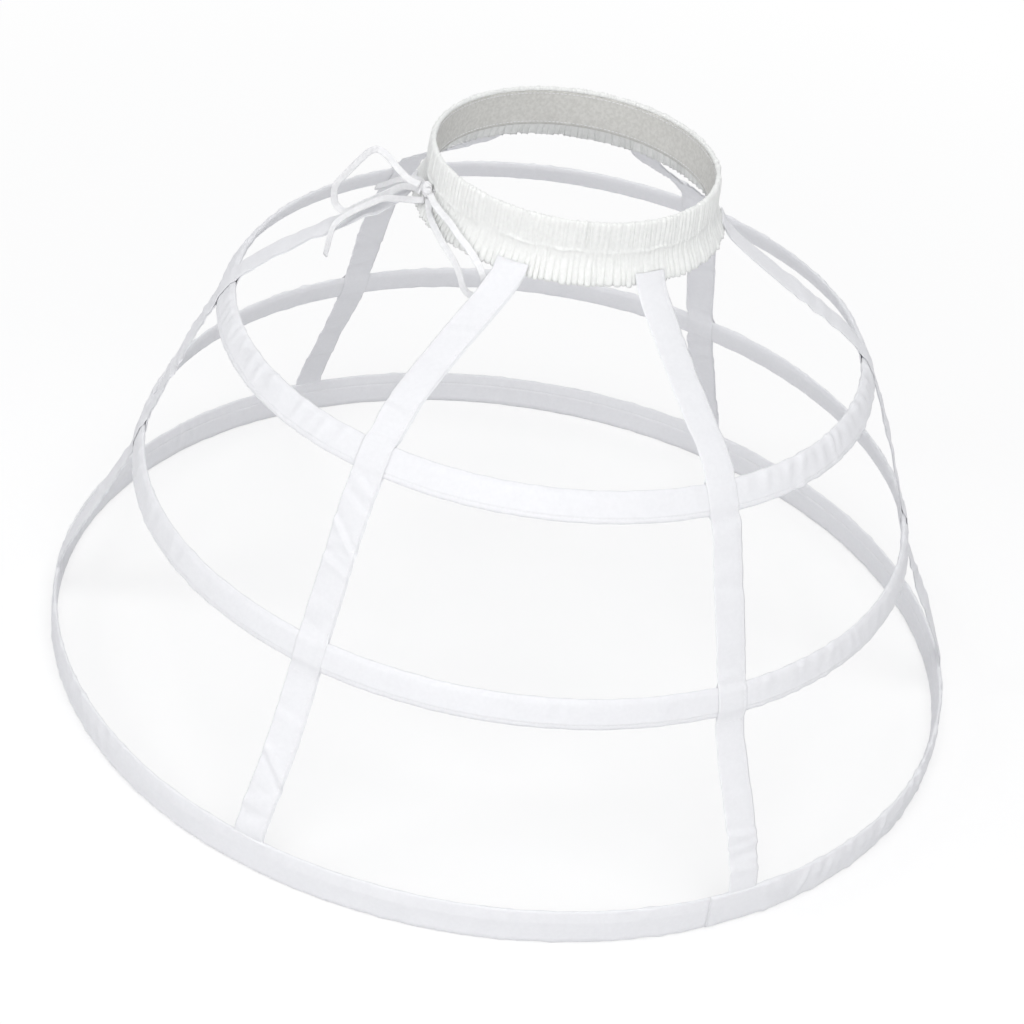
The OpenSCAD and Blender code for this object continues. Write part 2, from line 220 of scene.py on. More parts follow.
# Each material with its two colours, its relief in metres and, on cloth, the steps of its threads
COTTON = cloth_material("gathered_cotton", (0.855, 0.862, 0.845), (0.895, 0.902, 0.885),
                        along=0.0007, across=0.0007, relief=0.00010)
TAPE = cloth_material("strap_tape", *TAPE_WHITES, along=0.0006, across=0.0006, relief=0.00008)
CASING = cloth_material("casing_cotton", *TAPE_WHITES, along=0.0007, across=0.0006, relief=0.00008)
ELASTIC = cloth_material("woven_elastic", (0.64, 0.635, 0.605), (0.73, 0.725, 0.695),
                         along=0.0009, across=0.0016, relief=0.00024, slub=380.0)
CORD = cloth_material("bow_tape", (0.84, 0.84, 0.85), (0.89, 0.89, 0.90),
                      along=0.0007, across=0.0009, relief=0.00012)
THREAD = cloth_material("sewing_thread", (0.84, 0.84, 0.86), (0.90, 0.90, 0.92),
                        along=0.0003, across=0.0003, relief=0.00005, slub=900.0)
BONE = grain_material("hoop_bone", (0.80, 0.80, 0.77), (0.88, 0.88, 0.86),
                      roughness=0.5, metallic=0.0, scale=400.0, relief=0.00004)
STEEL = grain_material("sleeve_steel", (0.45, 0.46, 0.48), (0.56, 0.57, 0.59),
                       roughness=0.35, metallic=1.0, scale=900.0, relief=0.00002)


# Meshes

# Material slots of a mesh
CLOTH_SLOT = 0
THREAD_SLOT = 1
# Least and greatest share of a wave in an uneven swell
WAVE_SHARES = (0.5, 1.0)


def on_ring(r, angle, z):
    """Points from radii, angles and heights."""
    return np.stack(np.broadcast_arrays(r * np.cos(angle), r * np.sin(angle), z), -1)


def unit(v):
    return v / np.linalg.norm(v, axis=-1, keepdims=True)


def smooth_step(x):
    x = np.clip(x, 0.0, 1.0)
    return x * x * (3 - 2 * x)


def bell(x):
    return np.exp(-x * x)


def walked(line):
    """Length along a line of points, up to each of them."""
    return np.concatenate([[0.0], np.cumsum(np.linalg.norm(np.diff(line, axis=0), axis=1))])


class Cloth:
    """Gathers grids of points into one mesh, each with its weave map in metres along the cloth."""

    def __init__(self):
        self.points = []
        self.faces = []
        self.maps = []
        self.slots = []
        self.total = 0

    def add(self, points, faces, maps, slot, hollow=False):
        """Takes in a closed shape, its faces turned outwards, or inwards round a hollow."""
        a, b, c, d = (points[faces[:, k]] for k in range(4))
        volume = (np.cross(a, b) * c).sum() + (np.cross(a, c) * d).sum()
        if (volume < 0) != hollow:
            faces = faces[:, ::-1]
            maps = maps[:, ::-1]
        self.points.append(points)
        self.faces.append(faces + self.total)
        self.maps.append(maps)
        self.slots.append(np.full(len(faces), slot, dtype=np.int32))
        self.total += len(points)

    def grid(self, points, length, joined, hollow=False):
        """A tube: sections that follow each other, joined round into a ring or capped as a tape."""
        n, m = points.shape[:2]
        last = n if joined else n - 1
        i, j = np.meshgrid(np.arange(last), np.arange(m), indexing="ij")
        i2, j2 = (i + 1) % n, (j + 1) % m
        faces = np.stack([i * m + j, i2 * m + j, i2 * m + j2, i * m + j2], -1).reshape(-1, 4)
        section = points[0]
        across = walked(np.concatenate([section, section[:1]]))
        u = length / last
        maps = np.stack([np.stack([i * u, across[j]], -1), np.stack([(i + 1) * u, across[j]], -1),
                         np.stack([(i + 1) * u, across[j + 1]], -1),
                         np.stack([i * u, across[j + 1]], -1)], 2).reshape(-1, 4, 2)
        if not joined:
            k = np.arange(m // 2 - 1)
            cap = np.stack([k, k + 1, m - 2 - k, m - 1 - k], -1)
            faces = np.concatenate([faces, cap, cap[:, ::-1] + (n - 1) * m])
            maps = np.concatenate([maps, np.zeros((2 * len(cap), 4, 2))])
        self.add(points.reshape(-1, 3), faces, maps, CLOTH_SLOT, hollow)

    def stitches(self, line, out, joined):
        """A row of stitches along a line of points, each lying on the side that out points to."""
        if joined:
            line = np.concatenate([line, line[:1]])
            out = np.concatenate([out, out[:1]])
        walk = walked(line)
        count = max(1, int(walk[-1] / STITCH_STEP))
        at = (np.arange(count) + 0.5) * walk[-1] / count
        ends = [np.stack([np.interp(at + s * STITCH_L / 2, walk, line[:, k]) for k in range(3)], -1)
                for s in (-1, 1)]
        up = unit(np.stack([np.interp(at, walk, out[:, k]) for k in range(3)], -1))
        way = unit(ends[1] - ends[0])
        side = np.cross(way, up)
        middle = (ends[0] + ends[1]) / 2
        rows = []
        for share, swell in STITCH_SHARES:
            for corner in range(4):
                turn = math.pi * (2 * corner + 1) / 4
                spoke = side * math.cos(turn) + up * math.sin(turn)
                rows.append(middle + way * (share * STITCH_L) + spoke * (swell * STITCH_R))
        points = np.stack(rows, 1)
        walls = [[k * 4 + a, k * 4 + 4 + a, k * 4 + 4 + (a + 1) % 4, k * 4 + (a + 1) % 4]
                 for k in (0, 1) for a in range(4)]
        caps = [[0, 1, 2, 3], [11, 10, 9, 8]]
        faces = (np.arange(count)[:, None, None] * len(rows) + np.array(walls + caps)).reshape(-1, 4)
        self.add(points.reshape(-1, 3), faces, np.zeros((len(faces), 4, 2)), THREAD_SLOT)

    def piece(self, name, materials, slot, node):
        """Makes the mesh object, which rides on the cage and stands for its CAD node."""
        mesh = bpy.data.meshes.new(name)
        faces = np.concatenate(self.faces)
        mesh.from_pydata(np.concatenate(self.points).tolist(), [], faces.tolist())
        weave = mesh.uv_layers.new(name="Weave")
        weave.uv.foreach_set("vector", np.concatenate(self.maps).astype(np.float32).ravel())
        for material in materials:
            mesh.materials.append(material)
        mesh.polygons.foreach_set("material_index", np.concatenate(self.slots))
        mesh.shade_smooth()
        mesh.update()
        piece = bpy.data.objects.new(name, mesh)
        scene.collection.objects.link(piece)
        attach(piece, "root")
        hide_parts(node)
        return piece


def waves(angle, counts, size):
    """Uneven swell round the cage, with the same value after a full turn."""
    total = np.zeros_like(angle)
    for count in counts:
        total = total + np.sin(count * angle + rng.uniform(0, 2 * math.pi)) * rng.uniform(*WAVE_SHARES)
    return total * size / len(counts)


def through(points, parts):
    """Smooth line through a list of points, with parts steps between each two."""
    p = np.asarray(points, float)
    before = np.concatenate([2 * p[:1] - p[1:2], p[:-1]])
    after = np.concatenate([p[1:], 2 * p[-1:] - p[-2:-1]])
    slope = (after - before) / 2
    s = np.arange(parts)[:, None, None] / parts
    a, b, ma, mb = p[:-1], p[1:], slope[:-1], slope[1:]
    line = (2 * s**3 - 3 * s**2 + 1) * a + (s**3 - 2 * s**2 + s) * ma
    line = line + (3 * s**2 - 2 * s**3) * b + (s**3 - s**2) * mb
    return np.concatenate([line.transpose(1, 0, 2).reshape(-1, p.shape[1]), p[-1:]])


# Waistband

GATHERS = 200
PLEATS = 144
# Columns of points round the waist, of which the tunnel takes one in six
WAIST_COLUMNS = 1600
TUNNEL_SKIP = 6
# Least and greatest width of a fold, against the mean one
FOLD_WIDTHS = (0.6, 1.4)
# Weakest fold of each row, against the strongest, and how round the folds are
GATHER_FORM = (0.35, 0.5)
SHIRR_FORM = (0.3, 0.5)
PLEAT_FORM = (0.5, 0.7)

# Section of the gathered cover from the lip inside the elastic, over the rim and the drawstring's
# ridge to the frill's edge: radius, height, depth of the gathers and of the pleats, frill share
COVER_SECTION = [
    (0.10735, 0.0146, 0.0007, 0.0000, 0.0), (0.10728, 0.0158, 0.0009, 0.0000, 0.0),
    (0.10765, 0.0166, 0.0011, 0.0000, 0.0), (0.10855, 0.0168, 0.0012, 0.0000, 0.0),
    (0.10940, 0.0163, 0.0015, 0.0000, 0.0), (0.10985, 0.0147, 0.0017, 0.0000, 0.0),
    (0.11010, 0.0105, 0.0019, 0.0000, 0.0), (0.11040, 0.0060, 0.0019, 0.0000, 0.0),
    (0.11070, 0.0015, 0.0018, 0.0000, 0.0), (0.11095, -0.0020, 0.0015, 0.0000, 0.0),
    (0.11108, -0.0036, 0.0013, 0.0000, 0.0), (0.11120, -0.0050, 0.0012, 0.0000, 0.0),
    (0.11130, -0.0062, 0.0012, 0.0000, 0.0), (0.11140, -0.0074, 0.0012, 0.0000, 0.0),
    (0.11150, -0.0088, 0.0012, 0.0001, 0.1), (0.11170, -0.0106, 0.0012, 0.0003, 0.3),
    (0.11240, -0.0137, 0.0011, 0.0006, 0.5), (0.11380, -0.0177, 0.0009, 0.0012, 0.7),
    (0.11540, -0.0220, 0.0006, 0.0025, 0.9), (0.11680, -0.0263, 0.0003, 0.0035, 1.0),
    (0.11770, -0.0305, 0.0000, 0.0041, 1.0)]
SECTION_PARTS = 2
CORE_R = 0.1089
WAIST_SWAY = 0.0003
# The drawstring's ridge: its height, spread, sway up and down, rise and mean plainness, and the
# height over which the gathers change there
RIDGE_Z = -0.0060
RIDGE_SPREAD = 0.0013
RIDGE_SWAY = 0.0016
RIDGE_T = 0.0010
PLAIN_MEAN = 0.5
RIDGE_H = 0.0056
# The frill: its thickness, the frill share where its inside begins, the scallops of its edge and
# the pinch of its pleats
FRILL_T = 0.0007
FRILL_INSIDE_SHARE = 0.4
SCALLOP_H = 0.0022
SCALLOP_SHARES = (0.3, 1.0)
SCALLOP_POWER = 3
PINCH_SHARE = 0.10
# How far round the gathers lean, and how high above the ridge they do so fully
SLANT = 0.014
SLANT_H = 0.021
# Waves round the waist in the ridge's height, its plainness, the cover's sway and the gathers' slant
RIDGE_WAVES = (11, 23, 31, 41)
PLAIN_WAVES = (3, 7, 13, 19)
WAIST_WAVES = (5, 9, 14)
SLANT_WAVES = (17, 29, 43, 61)
# Hollow of the drawstring's tunnel, and where the cover lies against the elastic
TUNNEL = [(0.1090, -0.0108), (0.1107, -0.0108), (0.1107, -0.0060), (0.1090, -0.0060)]
AGAINST = [(CORE_R, -0.0130), (CORE_R, -0.0050), (CORE_R, 0.0050), (CORE_R, 0.0152)]
# The cover's strip of cloth before it was gathered
COVER_CUT = (0.056, 0.90)


def fold_row(turn, count, weakest, roundness):
    """Uneven folds round the waist: share across each, its height there, and its number."""
    width = rng.uniform(*FOLD_WIDTHS, count)
    ends = np.cumsum(width) * 2 * math.pi / width.sum()
    number = np.minimum(np.searchsorted(ends, turn, side="right"), count - 1)
    start = np.concatenate([[0.0], ends[:-1]])
    share = (turn - start[number]) / (ends - start)[number]
    strength = rng.uniform(weakest, 1.0, count)[number]
    return share, strength * np.sin(math.pi * np.clip(share, 0, 1)) ** roundness, number


def make_waistband():
    """Gathered cover over the elastic, with the drawstring's ridge and the frill below it."""
    turn = np.linspace(0, 2 * math.pi, WAIST_COLUMNS, endpoint=False)
    _, gather, _ = fold_row(turn, GATHERS, *GATHER_FORM)
    _, shirr, _ = fold_row(turn, GATHERS, *SHIRR_FORM)
    share, pleat, number = fold_row(turn, PLEATS, *PLEAT_FORM)
    section = through(COVER_SECTION, SECTION_PARTS)
    r, z, depth, pleat_depth, frill = section.T
    way = np.gradient(section[:, :2], axis=0)
    out = unit(np.stack([-way[:, 1], way[:, 0]], -1))
    # The gathers on the ridge and below it aren't those above it
    below = smooth_step((RIDGE_Z + RIDGE_H / 2 - z) / RIDGE_H) * (r > CORE_R)
    folds = gather[:, None] * (1 - below) + shirr[:, None] * below
    lift = folds * depth + pleat[:, None] * pleat_depth
    # The drawstring shows as a wavering ridge, here plainer and there fainter
    swell = waves(turn, RIDGE_WAVES, RIDGE_SWAY)[:, None]
    plain = np.clip(PLAIN_MEAN + waves(turn, PLAIN_WAVES, 1.0), 0, 1)[:, None]
    lift = lift + RIDGE_T * plain * bell((z - RIDGE_Z - swell) / RIDGE_SPREAD) * (r > CORE_R)
    sway = waves(turn, WAIST_WAVES, WAIST_SWAY)[:, None]
    hang = rng.uniform(*SCALLOP_SHARES, PLEATS)[number] * SCALLOP_H * pleat
    # A pleat is pinched at its sides, so its columns crowd into the valley at the frill's edge
    pinch = -PINCH_SHARE * np.sin(2 * math.pi * share) * 2 * math.pi / PLEATS
    # The gathers lean this way and that
    slant = waves(turn, SLANT_WAVES, SLANT)[:, None] * np.clip((z - RIDGE_Z) / SLANT_H, 0, 1)
    angle = turn[:, None] + pinch[:, None] * frill + slant
    rr = r + out[:, 0] * lift + sway * (1 - frill) * (r > CORE_R)
    zz = z + out[:, 1] * lift + (SCALLOP_H / 2 - hang)[:, None] * frill**SCALLOP_POWER
    outside = on_ring(rr, angle, zz)
    # Inside of the frill, and the side against the elastic
    under = frill > FRILL_INSIDE_SHARE
    inner = on_ring((rr - FRILL_T * out[:, 0])[:, under], angle[:, under],
                    (zz - FRILL_T * out[:, 1])[:, under])[:, ::-1]
    flat = np.array(AGAINST)
    against = on_ring(flat[:, 0][None], turn[:, None], flat[:, 1][None])
    cloth = Cloth()
    cloth.grid(np.concatenate([outside, inner, against], 1), COVER_CUT[1], True)
    tunnel = np.array(TUNNEL)
    step = turn[::TUNNEL_SKIP, None]
    cloth.grid(on_ring(tunnel[:, 0][None], step, tunnel[:, 1][None]), COVER_CUT[1], True, hollow=True)
    piece = cloth.piece("waistband_cloth", [COTTON], "cotton_cloth", "waistband_cover")


ELASTIC_T = 0.0016
# How far inside its solid's sides the elastic lies
ELASTIC_SKIN = 0.0001
ELASTIC_COLUMNS = 720
ELASTIC_ROWS = 15
RIPPLE_WAVES = (61, 83, 97, 131)
RIPPLE_T = 0.00026
ELASTIC_EDGE_WAVES = (71, 103, 137)
ELASTIC_EDGE_SWAY = 0.0002
# Heights of the two rows of stitches on the elastic, as shares of its width
ELASTIC_SEAM_SHARES = (0.09, 0.91)


def make_elastic():
    """Woven elastic inside the waist, with a row of stitches near each edge."""
    low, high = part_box("waist_elastic")
    inner_r = high.x - ELASTIC_T
    turn = np.linspace(0, 2 * math.pi, ELASTIC_COLUMNS, endpoint=False)[:, None]
    share = np.linspace(0, 1, ELASTIC_ROWS)
    ripple = waves(turn, RIPPLE_WAVES, RIPPLE_T) * np.sin(math.pi * share)
    edge = waves(turn, ELASTIC_EDGE_WAVES, ELASTIC_EDGE_SWAY)
    height = low.z + 2 * ELASTIC_SKIN + (high.z - low.z - 4 * ELASTIC_SKIN) * share
    inner = on_ring(inner_r + ELASTIC_SKIN + np.abs(ripple), turn, height + edge * (1 - share))
    outer = on_ring(high.x - ELASTIC_SKIN, turn, height[::-1])
    cloth = Cloth()
    cloth.grid(np.concatenate([inner, outer], 1), 2 * math.pi * inner_r, True)
    for share in ELASTIC_SEAM_SHARES:
        line = on_ring(inner_r, turn[:, 0], low.z + (high.z - low.z) * share)
        cloth.stitches(line, unit(-line * np.array([1, 1, 0])), True)
    piece = cloth.piece("elastic_band", [ELASTIC, THREAD], "waist_elastic", "waist_elastic")


# Straps

# Where a strap is sewn on the frill, as radius and height, and how much each run below it curves
SEWN_TOP = (0.1182, -0.0206)
SEWN_LOW = (0.1233, -0.0290)
CURVE_SHARE = 0.14
# Share of the first run in which a strap that is sewn further round comes back to its place
TURN_END_SHARE = 0.8
# Step between points along a strap, columns across it, and steps of its sewn and hanging runs
STATION = 0.0025
STRAP_COLUMNS = 17
SEWN_STEPS = 20
HUNG_STEPS = 60
# Points closer together than this are one
SAME_PLACE = 1e-6
# How far a tape's columns crowd to its edges, and how thin an edge is
COLUMN_CROWDING = 1.25
THINNEST_EDGE = 0.02
# Lengths over which a strap comes loose from the frill and is held again at the hem, and how far
# its layers part, in thicknesses, where a hoop holds it
LOOSE_TOP_L = 0.03
LOOSE_LOW_L = 0.012
LOOSE_ROOM_SHARE = 1.5
# How much a twist keeps to the middle of its run
TWIST_POWER = 4
# Sideways sway of a loose strap: length of a wave divided by 2 pi, and size
SWAYS = ((0.047, 0.0010), (0.021, 0.0007))
# Waver of a strap's width: its share, and two lengths of waves divided by 2 pi
EDGE_WAVER_SHARE = 0.012
EDGE_WAVER_L = (0.009, 0.031)
# Span in which these waves start, in radians
PHASES = (0, 6)
# The inner layer lies a little to one side of the outer one, where a row of stitches runs
LAYER_SHIFT = 0.0011
TOPSTITCH_IN = 0.0024
GROOVE_T = 0.00035
GROOVE_W = 0.0007
# Over this share of a section's half thickness, a point is on the tape's flat side
FLAT_SHARE = 0.5

# Folds in the straps: strap, share of its length, slope across, depth, spread
CREASES = [
    ("strap_front_left", 0.405, 0.55, 0.0008, 0.0028), ("strap_front_left", 0.490, 0.92, 0.0010, 0.0028),
    ("strap_front_left", 0.535, 0.33, 0.0009, 0.0022), ("strap_front_left", 0.700, -0.30, 0.0004, 0.0040),
    ("strap_front_left", 0.870, 0.90, -0.0011, 0.0034), ("strap_front_left", 0.930, 0.20, 0.0005, 0.0030),
    ("strap_front_right", 0.890, 0.10, 0.0010, 0.0022), ("strap_front_right", 0.912, -0.15, 0.0010, 0.0020),
    ("strap_front_right", 0.948, 0.12, 0.0011, 0.0022), ("strap_front_right", 0.430, 0.30, 0.0004, 0.0040),
    ("strap_left", 0.500, 0.60, 0.0007, 0.0030), ("strap_left", 0.820, -0.40, 0.0006, 0.0030),
    ("strap_right", 0.460, -0.70, 0.0008, 0.0030), ("strap_right", 0.780, 0.50, 0.0007, 0.0030),
    ("strap_back_left", 0.160, 0.30, 0.0006, 0.0030), ("strap_back_left", 0.550, -0.60, 0.0007, 0.0030),
    ("strap_back_right", 0.200, 0.50, 0.0006, 0.0030), ("strap_back_right", 0.720, 0.40, 0.0007, 0.0030)]
# Small creases: how many, and the spans of their place, slope across, spread and depth
SMALL_CREASES = 30
SMALL_CREASE_SHARES = (0.08, 0.97)
SMALL_CREASE_SLOPES = (-0.5, 0.5)
SMALL_CREASE_SPREADS = (0.002, 0.006)
SMALL_CREASE_T = (0.00015, 0.00060)

# How far each strap turns on itself between waist, hoops and hem
TWISTS = {"strap_right": (0.06, 0.05, 0.16), "strap_back_right": (0.08, -0.10, 0.12),
          "strap_back_left": (-0.06, 0.12, -0.10), "strap_left": (0.05, -0.04, -0.06),
          "strap_front_left": (0.03, 0.06, -0.04), "strap_front_right": (-0.04, 0.03, 0.05)}


def lean_way(lean):
    """Down along a leaning tape, seen from the side as radius and height."""
    return np.array([math.sin(lean), -math.cos(lean)])


def ring_place(node):
    """Middle of a ring's tape, as radius and height, from its solid's box."""
    low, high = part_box(node)
    lean = LEANS[node]
    reach = max(CASING_T / 2 * math.cos(lean) + CHANNEL_H / 2 * math.sin(lean),
                CASING_SEAM_T / 2 * math.cos(lean) + CASING_H / 2 * math.sin(lean))
    return np.array([high.x - reach, (low.z + high.z) / 2])


def hung(start, leave, end, reach):
    """Run of a strap between two places, which it leaves and reaches in the given directions."""
    pull = np.linalg.norm(end - start) * CURVE_SHARE
    s = np.linspace(0, 1, HUNG_STEPS)[:, None]
    b, c = start + leave * pull, end - reach * pull
    return start * (1 - s) ** 3 + 3 * b * s * (1 - s) ** 2 + 3 * c * s * s * (1 - s) + end * s**3


class StrapLine:
    """Middle line of a strap seen from the side, with its outward side and how its layers part."""

    def __init__(self):
        nodes = ("hoop_casing_upper", "hoop_casing_middle")
        middles = [ring_place(node) for node in nodes]
        ways = [lean_way(LEANS[node]) for node in nodes]
        eye = CASING_H / 2 + EYE_TIP_H
        down = lean_way(0.0)
        hem_top = ring_place("hem_casing") - down * HEM_H / 2
        sewn_top, sewn_low = np.array(SEWN_TOP), np.array(SEWN_LOW)
        frill_way = unit(sewn_low - sewn_top)
        runs = [np.linspace(sewn_top, sewn_low, SEWN_STEPS),
                hung(sewn_low, frill_way, middles[0] - ways[0] * eye, ways[0]),
                hung(middles[0] + ways[0] * eye, ways[0], middles[1] - ways[1] * eye, ways[1]),
                hung(middles[1] + ways[1] * eye, ways[1], hem_top, down),
                np.array([hem_top, hem_top + down * TUCK_H])]
        line = np.concatenate(runs)
        moved = np.linalg.norm(np.diff(line, axis=0), axis=1) > SAME_PLACE
        line = line[np.concatenate([[True], moved])]
        walk = walked(line)
        self.at = np.linspace(0, walk[-1], int(walk[-1] / STATION) + 1)
        self.r, self.z = (np.interp(self.at, walk, line[:, k]) for k in (0, 1))
        self.length = walk[-1]
        self.run = (walked(runs[0])[-1], walked(runs[1])[-1])
        place = np.stack([self.r, self.z], -1)
        way = unit(np.gradient(place, axis=0))
        self.out = np.stack([-way[:, 1], way[:, 0]], -1)
        self.parted = np.full(len(self.at), TAPE_T / 2)
        self.tips = []
        self.spans = [0.0]
        for middle, hoop_way in zip(middles, ways):
            away = np.abs((place - middle) @ hoop_way)
            near = (away < eye) & (np.linalg.norm(place - middle, axis=1) < 2 * eye)
            half = np.interp(away, [0, CHANNEL_H / 2, CASING_H / 2, eye],
                             [CASING_T / 2, CASING_T / 2, CASING_SEAM_T / 2, 0.0])
            room = half + FIT * (away < CASING_H / 2) + TAPE_T / 2
            self.parted = np.where(near, room, self.parted)
            found = np.flatnonzero(near)
            self.tips += [found[0], found[-1]]
            self.spans.append(self.at[found[len(found) // 2]])
        self.spans.append(self.length)


STRAP_LINE = StrapLine()


def tape_section(width, thickness, columns):
    """Section of a flat tape with rounded edges: places across it, and sides 1 and -1."""
    w = np.linspace(-1, 1, columns)
    w = np.sign(w) * (1 - (1 - np.abs(w)) ** COLUMN_CROWDING)
    rounding = np.clip(1 + (np.abs(w) - 1) * width / thickness, 0, 1)
    half = np.sqrt(np.clip(1 - rounding**2, THINNEST_EDGE, 1))
    return np.concatenate([w, w[::-1]]) * width / 2, np.concatenate([half, -half[::-1]])


def crease(x):
    """Section across a crease: up on one side and down on the other, 1 at the most."""
    return x * np.exp(0.5 - x * x / 2)


def strap_folds(name, s, w):
    """Creases across a strap, out of its flat plane."""
    fold = np.zeros(np.broadcast_shapes(s.shape, w.shape))
    for strap, share, slope, depth, spread in CREASES:
        if strap == name:
            fold = fold + depth * crease((s - share * STRAP_LINE.length - slope * w) / spread)
    for _ in range(SMALL_CREASES):
        middle = rng.uniform(*SMALL_CREASE_SHARES) * STRAP_LINE.length
        x = (s - middle - rng.uniform(*SMALL_CREASE_SLOPES) * w) / rng.uniform(*SMALL_CREASE_SPREADS)
        fold = fold + rng.uniform(*SMALL_CREASE_T) * crease(x)
    return fold


def make_strap(name, angle):
    """Doubled tape from the frill to the hem, whose two layers part round each hoop."""
    line = STRAP_LINE
    at = line.at
    across, side = tape_section(STRAP_W, TAPE_T, STRAP_COLUMNS)
    twist = np.zeros(len(at))
    for k, amount in enumerate(TWISTS[name]):
        share = np.clip((at - line.spans[k]) / (line.spans[k + 1] - line.spans[k]), 0, 1)
        twist = twist + amount * np.sin(math.pi * share) ** TWIST_POWER
    twist = twist[:, None]
    # The top is sewn further round the waist on a strap that leans
    leaning = np.clip(1 - (at - line.run[0]) / (TURN_END_SHARE * line.run[1]), 0, 1)
    angle = angle + TOP_TURNS.get(name, 0.0) * leaning * line.r[0] / line.r
    # Free of the waistband, the hoops and the hem, the tape creases and sways
    loose = smooth_step((TAPE_T * LOOSE_ROOM_SHARE - line.parted) / TAPE_T)
    loose = loose * smooth_step(at / LOOSE_TOP_L) * smooth_step((line.length - at) / LOOSE_LOW_L)
    s, w = at[:, None], across[None]
    fold = strap_folds(name, s, w) * loose[:, None]
    sway = loose * sum(np.sin(at / wave_l + rng.uniform(*PHASES)) * size for wave_l, size in SWAYS)
    quick_l, slow_l = EDGE_WAVER_L
    edge = EDGE_WAVER_SHARE * np.sin(at / quick_l + rng.uniform(*PHASES)) * np.sin(at / slow_l)
    wide_at = w * (1 + edge[:, None])
    seam_at = STRAP_W / 2 - TOPSTITCH_IN
    groove = GROOVE_T * bell((across - seam_at) / GROOVE_W)
    cloth = Cloth()
    for layer in (1, -1):
        middle = layer * line.parted[:, None] + fold
        skin = middle + TAPE_T / 2 * side[None] - groove[None] * (side[None] * layer > FLAT_SHARE) * layer
        shift = (LAYER_SHIFT if layer < 0 else 0.0) * loose[:, None]
        wide = wide_at * np.cos(twist) - skin * np.sin(twist) + sway[:, None] + shift
        deep = skin * np.cos(twist) + wide_at * np.sin(twist)
        rr = line.r[:, None] + line.out[:, :1] * deep
        zz = line.z[:, None] + line.out[:, 1:] * deep
        points = on_ring(rr, angle[:, None] + wide / line.r[:, None], zz)
        cloth.grid(points, line.length, False)
        facing = on_ring(line.out[:, 0] * layer, angle, line.out[:, 1] * layer)
        free = at < line.length - TUCK_H
        outer = np.flatnonzero(side * layer > 0)
        column = outer[np.argmin(np.abs(across[outer] - seam_at))]
        cloth.stitches(points[free, column], facing[free], False)
        if layer > 0:
            for tip in line.tips:
                cloth.stitches(points[tip, outer], np.repeat(facing[tip][None], len(outer), 0), False)
    piece = cloth.piece(name + "_tape", [TAPE, THREAD], "strap_tape", name)


# Hoops and hem

# Stretches of a ring where its casing is strongly puckered: node, from and to in degrees, depth
PUCKERED = [("hoop_casing_upper", -52, 2, 0.0023), ("hoop_casing_upper", 190, 240, 0.0015),
            ("hoop_casing_middle", 60, 150, 0.0014), ("hoop_casing_middle", -50, -10, 0.0013),
            ("hem_casing", -56, -10, 0.0020), ("hem_casing", 200, 240, 0.0012)]
# Depth of the puckers elsewhere, and share of the depth above that a strong one has
PUCKER_T = (0.0003, 0.0011)
STRONG_PUCKER_SHARES = (0.5, 1.0)
# Mean step from one pucker to the next, and the spans of that step's share, of slope and of spread
PUCKER_STEP = 0.013
PUCKER_STEP_SHARES = (0.6, 1.6)
PUCKER_SLOPES = (-0.45, 0.45)
PUCKER_SPREADS = (0.0020, 0.0044)
# A pucker's mean depth along it, how much that changes, how fast and from where
PUCKER_MEAN_SHARE = 0.6
PUCKER_CHANGE_SHARE = 0.4
PUCKER_CHANGE_TURN = 3
PUCKER_CHANGE_STARTS = (-1, 1)
# How much of a pucker shows on the casing's back and moves its edges
BACK_PUCKER_SHARE = 0.5
EDGE_PUCKER_SHARE = 0.3
# Step between points round a ring, rows on each face, and how far these crowd to the edges
RING_STEP = 0.0020
CASING_ROWS = 21
ROW_CROWDING = 1.2
# How far a ring is out of round
RING_WAVES = (7, 11, 17)
RING_SWAY = 0.0004
# A casing's edges: height of their rounding, how thin they are, and how they waver
EDGE_ROUND_H = 0.0012
CASING_THINNEST_EDGE = 0.12
EDGE_WAVES = (37, 53, 71, 90)
EDGE_SWAY = 0.0004
EDGE_POWER = 3
# Rows of points at a seam, in widths of its groove
SEAM_ROWS = np.array([-1.5, -0.7, 0, 0.7, 1.5])
SEAM_GROOVE_T = 0.0005
# Under the straps and beside them the casing is held flat
HELD_FLAT_W = 0.015
HELD_FADE_W = 0.010
# Rows of stitches, as heights from the middle of the tape: on the outside, and on the inside
HOOP_SEAMS = ((-0.0083,), (-0.0083,))
HEM_SEAMS = ((), (0.0054,))
# Thickness of the hem's top edge between the straps
HEM_BARE_TOP_T = 0.0018
# The hem's tape is lapped over its own end beside the front right strap
LAP_ANGLE = math.radians(300.3)
LAP_W = 0.016
LAP_T = 0.0008
LAP_EDGE_W = 0.0005
# Columns of points at the lap's edge, in its widths
LAP_COLUMNS = np.arange(-2, 3)


def puckers(node, walk, v, round_l):
    """Small folds across a casing, which the stitching draws up: height over the face."""
    total = np.zeros((len(walk), len(v)))
    place = 0.0
    while place < round_l:
        degrees = 360 * place / round_l
        depth = rng.uniform(*PUCKER_T)
        for name, start, end, strong in PUCKERED:
            if name == node and (degrees - start) % 360 < end - start:
                depth = strong * rng.uniform(*STRONG_PUCKER_SHARES)
        away = (walk - place + round_l / 2) % round_l - round_l / 2
        x = (away[:, None] - rng.uniform(*PUCKER_SLOPES) * v) / rng.uniform(*PUCKER_SPREADS)
        # A pucker is deepest towards one of the casing's edges
        change = np.sin(PUCKER_CHANGE_TURN * v / v.max() + rng.uniform(*PUCKER_CHANGE_STARTS))
        near = PUCKER_MEAN_SHARE + PUCKER_CHANGE_SHARE * change
        total = total + depth * np.exp(-x * x / 2) * near
        place += PUCKER_STEP * rng.uniform(*PUCKER_STEP_SHARES)
    return total


